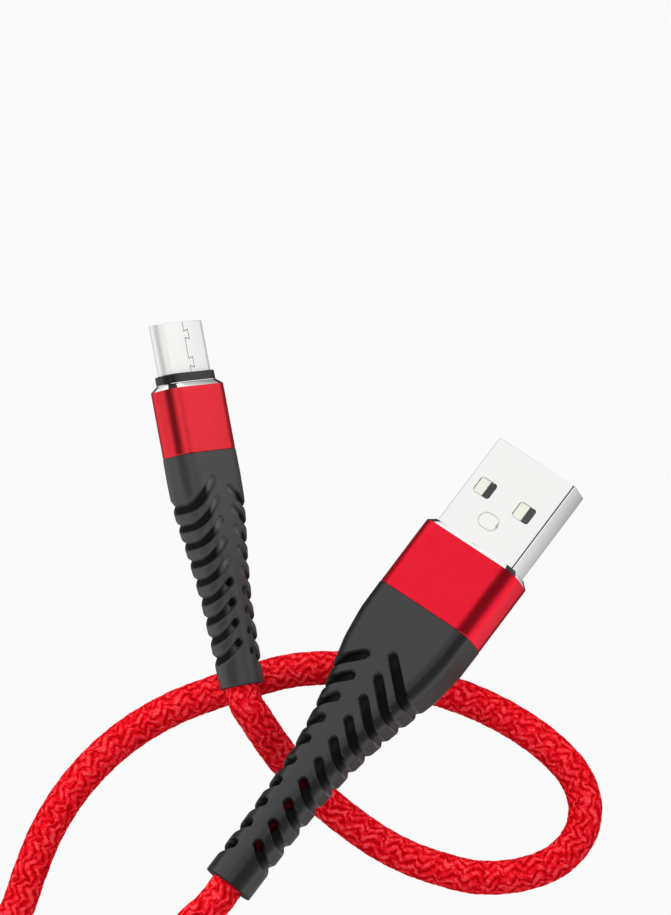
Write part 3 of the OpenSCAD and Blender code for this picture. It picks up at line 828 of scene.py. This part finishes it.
def strain_relief(name, plug, at, rings, slots, pocket, node_name):
    """Rubber sleeve: a slotted skin, a rounded end, a bore for the braid and a pocket for the plug."""
    loop = outline(5, 26, 22)
    skin, shade = relief_skin(rings, slots, loop)
    length, half_w, half_h, corner = rings[-1]
    end_rings = ring_stack(loop, [
        (length - 0.05, half_w - 0.02, half_h - 0.02, corner), (length, half_w - 0.1, half_h - 0.1, corner),
    ])
    turn = np.arctan2(end_rings[-1][:, 2], end_rings[-1][:, 0])
    bore_rings = [
        (length, MOUTH_R + 0.05), (length - 0.05, MOUTH_R), (length - MOUTH_LEN, MOUTH_R),
        (length - MOUTH_LEN - 0.1, CORE_R), (POCKET_LEN + 0.05, CORE_R),
    ]
    bore = []
    for back, radius in bore_rings:
        ring = [radius * np.cos(turn), np.full_like(turn, -back), radius * np.sin(turn)]
        bore.append(np.stack(ring, axis=-1))
    pocket_rings = ring_stack(loop, [(POCKET_LEN, *pocket, POCKET_CORNER), (0, *pocket, POCKET_CORNER)])
    stack = np.concatenate([skin, end_rings, np.array(bore), pocket_rings])
    stack[:, :, 1] -= at
    piece = plug_piece(name, plug, stack, [RUBBER], [node_name], sharp=50)
    # Painted shade: the skin's own, and RIM_SHADE on the rounded end, in the bore and in the pocket
    depth = np.full(stack.shape[:2], RIM_SHADE, np.float32)
    depth[:len(shade)] = shade
    attribute = piece.data.attributes.new("sunk", "FLOAT", "POINT")
    attribute.data.foreach_set("value", depth.reshape(-1))
    return piece


strain_relief("usb_a_strain_relief", PLUG_A, A_RELIEF[0] / MM, A_RELIEF_RINGS, A_SLOTS, (4.7, 2.5),
              "usb_a_relief")
C_STRAIN_RELIEF = strain_relief("usb_c_strain_relief", PLUG_C, C_RELIEF[0] / MM, C_RELIEF_RINGS, C_SLOTS,
                                (3.5, 2.1), "usb_c_relief")


def braid_sleeve(name, plug, node_name, relief):
    """The braid's end inside a strain relief, up to where the cord itself begins, dark with painted shade.
    """
    start = stations(node_name, plug)[0]
    end = relief[1] - MOUTH_DEPTH
    steps = int((end - start) / BRAID_SPACING)
    path = np.array([on_axis(plug, start + (end - start) * k / steps) for k in range(steps + 1)])
    sleeve = braided_tube(name, path, [node_name], SHADED_SLEEVE_NYLON)
    return sleeve


braid_sleeve("usb_a_braid_sleeve", PLUG_A, "usb_a_braid_end", A_RELIEF)
C_BRAID_SLEEVE = braid_sleeve("usb_c_braid_sleeve", PLUG_C, "usb_c_braid_end", C_RELIEF)

# ---- Collars, shells and the black mould ----

# Zones of a collar's faces, which are also places in its list of materials; the last two are a painted dark
# reflection and painted shade
SLEEVE, POLISHED, PAINTED_DARK, PAINTED_SHADE_EDGE = range(4)
COLLAR_WALL = 0.6
COLLAR_LIP = 1.6
EDGE_SOFT = 0.05


def collar(name, plug, node_name, material, corner, chamfer, mouth, mouth_corner, bright, shaded=1):
    """Anodised sleeve with a polished chamfer round its mouth.

    "bright" says how much of each corner of the chamfer stays bright, from the upper right round to the
    lower right; the rest of each corner has a painted dark reflection. The lower right edge has painted
    shade from the share "shaded" of its straight side onwards.
    """
    low, high = local_box(node_name, plug)
    half_w, half_h = high[0] / MM, high[2] / MM
    front, rear = -high[1] / MM, -low[1] / MM
    mouth_r = corner - chamfer / 2

    def sunk(inset, radius):
        return half_w - inset, half_h - inset, radius

    outer = [
        (front, *sunk(chamfer + 0.01, mouth_r)), (front + EDGE_SOFT, *sunk(chamfer, mouth_r)),
        (front + chamfer - EDGE_SOFT, *sunk(1.2 * EDGE_SOFT, corner)),
        (front + chamfer + EDGE_SOFT, *sunk(0, corner)), (front + chamfer + 0.4, *sunk(0, corner)),
        (rear - 0.2, *sunk(0, corner)), (rear - 0.05, *sunk(0.05, corner)), (rear, *sunk(0.2, corner)),
    ]
    inner = [
        (rear, *sunk(COLLAR_WALL, corner - COLLAR_WALL)),
        (front + COLLAR_LIP, *sunk(COLLAR_WALL, corner - COLLAR_WALL)),
        (front + COLLAR_LIP, *mouth, mouth_corner), (front, *mouth, mouth_corner),
    ]
    loop = outline(6, 14, 12)
    stack = ring_stack(loop, outer + inner)
    zones = np.full(stack.shape[:2], SLEEVE)
    chamfer_rows = zones[:3]
    sleeve_rows = zones[3:7]
    chamfer_rows[:] = POLISHED
    zones[-2:] = POLISHED
    right, upper = loop[0] > 0, loop[1] > 0
    # Painted dark reflection on the chamfer's corners, and painted shade along the lower right edge
    limit = np.select([right & upper, ~right & upper, ~right & ~upper], bright[:3], bright[3])
    chamfer_rows[:, np.abs(np.sin(2 * loop[4])) > limit] = PAINTED_DARK
    low_edge = right & ~upper & (loop[3] > shaded)
    chamfer_rows[:, low_edge] = PAINTED_DARK
    sleeve_rows[:, low_edge & (loop[3] == 1)] = PAINTED_SHADE_EDGE
    return plug_piece(name, plug, stack, [material, CUT, CHROME_PAINTED_DARK, RED_PAINTED_SHADE],
                      [node_name], zones=zones, sharp=25)


collar("usb_a_anodised_collar", PLUG_A, "usb_a_collar", A_RED, corner=2.2, chamfer=0.6, mouth=(6.05, 2.3),
       mouth_corner=0.5, bright=(0.7, 0.35, 0.35, 0.05), shaded=0.6)
C_ANODISED_COLLAR = collar("usb_c_anodised_collar", PLUG_C, "usb_c_collar", C_RED, corner=2.0, chamfer=0.65,
                           mouth=(4.33, 1.93), mouth_corner=1.66, bright=(0.02, 0.85, 0.15, 0.3))


def grown(sizes, by):
    """Half sizes and corner radius of a section, all larger by the same amount."""
    return [size + by for size in sizes]


def shell_stack(node_name, plug, loop, corner, wall):
    """Rings of a metal shell: out along its outside and back along its inside."""
    low, high = local_box(node_name, plug)
    half_w, half_h = high[0] / MM, high[2] / MM
    front, rear = -high[1] / MM, -low[1] / MM
    soft = EDGE_SOFT
    outside = (half_w, half_h, corner)
    inside = (half_w - wall, half_h - wall, max(corner - wall, 0.05))
    return ring_stack(loop, [
        (front, *grown(outside, -soft)), (front + soft, *outside), (rear, *outside),
        (rear, *inside), (front + 2 * soft, *inside), (front, *grown(inside, soft)),
    ])


# Windows of the USB-A shell: where they lie across it and back from its tip, and their size
WINDOW_SHIFT = -0.35
WINDOW_X = (WINDOW_SHIFT - 3.1, WINDOW_SHIFT + 3.1)
WINDOW_AT = 6.25
WINDOW_W = 2.55
WINDOW_L = 2.2


def usb_a_shell():
    """Folded shell with its spring windows, dimple and seam; its low side has a steel of its own."""
    windows = [rounded_window(x, WINDOW_AT, WINDOW_W, WINDOW_L, 0.4, -4, 4) for x in WINDOW_X]
    dimple = rim_groove(WINDOW_SHIFT, 9.5, 1.4, 0.98, 2.25, 0.07)
    seam = groove([(0, 0.5), (0, 14)], 0.08, -3, -1.5)
    loop = outline(4, 8, 8)
    stack = shell_stack("usb_a_shell", PLUG_A, loop, 0.24, 0.3)
    zones = np.zeros(stack.shape[:2], int)
    zones[:2, np.sin(loop[4]) < 0.1] = 1
    return plug_piece("usb_a_steel_shell", PLUG_A, stack, [STEEL, SIDE_STEEL],
                      ["usb_a_shell"], zones=zones, cutters=[*windows, dimple, *seam], bevel=0.04, sharp=30)


def usb_c_shell():
    """Drawn shell with a dovetail seam along the middle of its upper face."""
    line = [(0, -0.2), (0, 1.2), (0.7, 1.0), (0.75, 2.2), (0, 2.0), (0, 4.6), (0.7, 4.4), (0.75, 5.7),
            (0, 5.5), (0, 9)]
    stack = shell_stack("usb_c_shell", PLUG_C, outline(2, 20, 10), 1.18, 0.2)
    return plug_piece("usb_c_steel_shell", PLUG_C, stack, [SATIN], ["usb_c_shell"],
                      cutters=groove(line, 0.08, 0.9, 1.5), sharp=30)


def usb_c_mould():
    """Black mould: a ring round the root of the shell, and a hollow block behind it in the collar."""
    low, high = local_box("usb_c_inner_mould", PLUG_C)
    front, rear = -high[1] / MM, -low[1] / MM
    step = C_COLLAR[0] / MM + 1.65
    ring = (4.3, 1.9, 1.7)
    block = (high[0] / MM, high[2] / MM, 1.3)
    cavity = (3.9, 1.45, 0.3)
    shell_hole = (4.155, 1.23, 1.2)
    stack = ring_stack(outline(4, 14, 8), [
        (front, *grown(ring, -0.15)), (front + 0.05, *grown(ring, -0.04)), (front + 0.15, *ring),
        (step, *ring), (step, *block), (rear, *block),
        (rear, *cavity), (front + 3.8, *cavity), (front + 3.7, *shell_hole), (front, *shell_hole),
    ])
    return plug_piece("usb_c_black_mould", PLUG_C, stack, [BLACK], ["usb_c_inner_mould"])


def window_blocks(name, left_share, right_share, low, high, material):
    """Flat blocks that show in a part of each of the shell's windows: the tongue's cream, or a dark sheet
    as painted shadow.
    """
    vertices = []
    faces = []
    for x in WINDOW_X:
        left = x + left_share * WINDOW_W
        right = x + right_share * WINDOW_W
        front = WINDOW_AT - WINDOW_L / 2 + 0.06
        rear = WINDOW_AT + WINDOW_L / 2 - 0.06
        first = len(vertices)
        for z in (low, high):
            vertices += [(left, -rear, z), (right, -rear, z), (right, -front, z), (left, -front, z)]
        box = [(3, 2, 1, 0), (4, 5, 6, 7), (0, 1, 5, 4), (1, 2, 6, 5), (2, 3, 7, 6), (3, 0, 4, 7)]
        faces += [[first + k for k in face] for face in box]
    piece = loose_mesh(name, vertices, faces, [material])
    finished(piece, PLUG_A)
    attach(piece, "root")
    return piece


usb_a_shell()
# Cream blocks in the windows, in the lighter copy of the cream: painted light
A_BOSSES = window_blocks("usb_a_window_bosses", -0.46, 0.06, 1.875, 2.16, CREAM_PAINTED_LIGHT)
# Dark sheets in the windows: painted shadow
window_blocks("usb_a_window_painted_shadows", 0.06, 0.55, 1.875, 1.9, PAINTED_SHADOW_PLASTIC)
C_STEEL_SHELL = usb_c_shell()
C_BLACK_MOULD = usb_c_mould()

# ---- The tie round the coil ----


def coil_strap():
    """Hook-and-loop strap round the coil."""
    low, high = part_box("coil_tie")
    place = Matrix.Translation((low + high) / 2)
    half = (high - low) / 2 / MM
    wall = 0.6
    soft = 0.12
    outside = (half.x, half.z, 1.8)
    inside = (half.x - wall, half.z - wall, 1.2)
    rim_out = (half.x - soft, half.z - soft, 1.7)
    rim_in = (half.x - wall + soft, half.z - wall + soft, 1.3)
    stack = ring_stack(outline(10, 10, 16), [
        (-half.y, *rim_out), (-half.y + soft, *outside), (half.y - soft, *outside), (half.y, *rim_out),
        (half.y, *rim_in), (half.y - soft, *inside), (-half.y + soft, *inside), (-half.y, *rim_in),
    ])
    return plug_piece("coil_strap", place, stack, [STRAP], ["coil_tie"])


COIL_STRAP = coil_strap()

# ---- Materials of the CAD pieces that keep their own shape ----

CAD_PAINT = {
    "usb_a_insulator": CREAM,
    **{"usb_a_contact_" + line: GOLD for line in ("vbus", "data_minus", "data_plus", "ground")},
    "usb_a_solder_joints": TIN,
    **{"usb_a_wire_" + colour: paint for colour, paint in WIRE_PAINT.items()},
    "usb_a_inner_mould": BLACK,
    "usb_a_crimp": SPRING,
    "usb_a_shield_end": SHIELD,
    "usb_a_jacket_end": JACKET,
    "usb_c_housing": BLACK,
    "usb_c_upper_contacts": GOLD,
    "usb_c_lower_contacts": GOLD,
    "usb_c_latch_plate": SPRING,
    "usb_c_ground_springs": SPRING,
    "usb_c_paddle_board": BOARD,
    "usb_c_resistor": BLACK,
    "usb_c_solder_joints": TIN,
    "usb_c_wires": WIRE_PAINT["red"],
    "usb_c_crimp": SPRING,
    "usb_c_shield_end": SHIELD,
    "usb_c_jacket_end": JACKET,
}
for node_name, material in CAD_PAINT.items():
    mesh = NODES[node_name].data
    mesh.materials.clear()
    mesh.materials.append(material)

# ---- Floor and light ----

# How bright the table is to the camera, and how strongly it lights the pieces
SEEN_WHITE = 0.956
TABLE_GLOW = 0.85
# The table's glow has a painted shadow: it looks dark to a surface this close to it, and round a place
# between the plugs
GLOW_NEAR = 6.5 * MM
GLOW_FAR = 21 * MM
DIM_AT = Vector((-21.5, 15, 0)) * MM
DIM_NEAR = 9 * MM
DIM_FAR = 14 * MM
# The share of its glow that the table keeps there
GLOW_LEFT = 0.05
TABLE_HALF = 3


def table_white():
    """Glows for the pieces, with a painted shadow near them and between the plugs, and shows an even white
    to the camera.
    """
    n = Paint("table_white")
    grain = n.noise(0.02, 2)
    n.set(Base_Color=n.ramp(grain, (0.3, rgb(0.30, 0.30, 0.30)), (0.7, rgb(0.31, 0.31, 0.31))),
          Roughness=0.9, Specular_IOR_Level=0.0)
    seen = n.add("ShaderNodeEmission", {"Color": rgb(1, 1, 1), "Strength": SEEN_WHITE})
    mix = n.add("ShaderNodeMixShader", {"Fac": n.add("ShaderNodeLightPath").outputs["Is Camera Ray"]})
    n.tree.links.new(n.shader.outputs["BSDF"], mix.inputs[1])
    n.tree.links.new(seen.outputs["Emission"], mix.inputs[2])
    n.tree.links.new(mix.outputs["Shader"], n.output.inputs["Surface"])
    n.put(n.shader.inputs["Emission Color"], rgb(1, 1, 1))
    reach = n.add("ShaderNodeLightPath").outputs["Ray Length"]
    near = n.add("ShaderNodeMapRange", {
        "Value": reach, "From Min": GLOW_NEAR, "From Max": GLOW_FAR,
    }).outputs["Result"]
    apart = n.add("ShaderNodeVectorMath", {0: n.add("ShaderNodeTexCoord").outputs["Object"], 1: DIM_AT},
                  operation="DISTANCE").outputs["Value"]
    clear = n.add("ShaderNodeMapRange", {
        "Value": apart, "From Min": DIM_NEAR, "From Max": DIM_FAR,
    }).outputs["Result"]
    glow = n.math("MULTIPLY", n.spread(n.math("MULTIPLY", near, clear), GLOW_LEFT, 1.0), TABLE_GLOW)
    n.put(n.shader.inputs["Emission Strength"], glow)
    return n.material


def add_table():
    corners = [(x * TABLE_HALF, y * TABLE_HALF, 0) for x, y in ((-1, -1), (1, -1), (1, 1), (-1, 1))]
    table = loose_mesh("table", corners, [(0, 1, 2, 3)], [table_white()])


# Dark patches of the sky: the centre and half sizes across the view from above, and a turn in degrees
SKY_PATCHES = [
    ((0.18, 0.26), (0.75, 0.27), 0),
    ((-0.45, -0.36), (0.42, 0.30), 50),
]
PATCH_DARKNESS = 0.97
# Shares of a patch's half sizes where it starts to fade and where it ends
PATCH_FADE = (0.7, 1.15)
# No patch has an edge above or below it
PATCH_TALL = 1000
SKY_STRENGTH = 1.0
# Brightness at the level of the table and high up, and how high that is
LOW_SKY = 1.05
HIGH_SKY = 0.97
HIGH_AT = 0.6


def sky_patch(n, direction, centre, half_sizes, turn):
    """How far a direction lies inside a soft oval patch of sky: 1 in its middle, 0 outside it."""
    place = n.add("ShaderNodeMapping", {
        "Vector": direction, "Location": (*centre, 0), "Rotation": (0, 0, math.radians(turn)),
        "Scale": (*half_sizes, PATCH_TALL),
    }, vector_type="TEXTURE").outputs["Vector"]
    reach = n.add("ShaderNodeVectorMath", {0: place}, operation="LENGTH").outputs["Value"]
    return n.add("ShaderNodeMapRange", {
        "Value": reach, "From Min": PATCH_FADE[0], "From Max": PATCH_FADE[1], "To Min": 1.0, "To Max": 0.0,
    }, interpolation_type="SMOOTHSTEP").outputs["Result"]


def add_sky():
    world = bpy.data.worlds.new("sky")
    world.use_nodes = True
    bpy.context.scene.world = world
    n = Nodes(world.node_tree)
    direction = n.add("ShaderNodeTexCoord").outputs["Generated"]
    height = n.add("ShaderNodeSeparateXYZ", {"Vector": direction}).outputs["Z"]
    light = n.add("ShaderNodeMapRange", {
        "Value": height, "From Min": 0.0, "From Max": HIGH_AT, "To Min": LOW_SKY, "To Max": HIGH_SKY,
    }).outputs["Result"]
    for patch in SKY_PATCHES:
        inside = sky_patch(n, direction, *patch)
        clear = n.add("ShaderNodeMath", {0: inside, 1: -PATCH_DARKNESS, 2: 1.0}, operation="MULTIPLY_ADD")
        light = n.math("MULTIPLY", light, clear.outputs[0])
    background = world.node_tree.nodes["Background"]
    n.put(background.inputs["Color"], light)
    n.put(background.inputs["Strength"], SKY_STRENGTH)


def add_lamp(name, place, at, size, power, lit):
    """Round lamp that lights only the pieces it is meant for."""
    data = bpy.data.lights.new(name, "AREA")
    data.shape = "DISK"
    data.size = size
    data.energy = power
    lamp = bpy.data.objects.new(name, data)
    lamp.location = Vector(place)
    lamp.rotation_euler = (Vector(at) - Vector(place)).to_track_quat("-Z", "Y").to_euler()
    bpy.context.scene.collection.objects.link(lamp)
    group = bpy.data.collections.new(name + "_lit")
    for piece in lit:
        group.objects.link(piece)
    lamp.light_linking.receiver_collection = group
    lamp.light_linking.blocker_collection = group


add_table()
add_sky()
C_METAL = [C_ANODISED_COLLAR, C_STEEL_SHELL, C_STRAIN_RELIEF]
SIDE_LAMP_AT = (-0.45, 0.30, 0.40)
HIGH_LAMP_AT = (0.024, 0.167, 0.58)
add_lamp("usb_c_lamp", place=HIGH_LAMP_AT, at=(-0.03, 0.005, 0.005), size=0.36, power=0.34, lit=C_METAL)
add_lamp("cord_lamp", place=SIDE_LAMP_AT, at=(-0.02, 0, 0), size=0.15, power=2.5, lit=[cord])
add_lamp("window_lamp", place=SIDE_LAMP_AT, at=(0.02, 0.03, 0.01), size=0.15, power=0.8, lit=[A_BOSSES])

scene = bpy.context.scene
scene.view_settings.view_transform = "Standard"
scene.view_settings.look = "None"
scene.view_settings.exposure = 0
scene.view_settings.gamma = 1
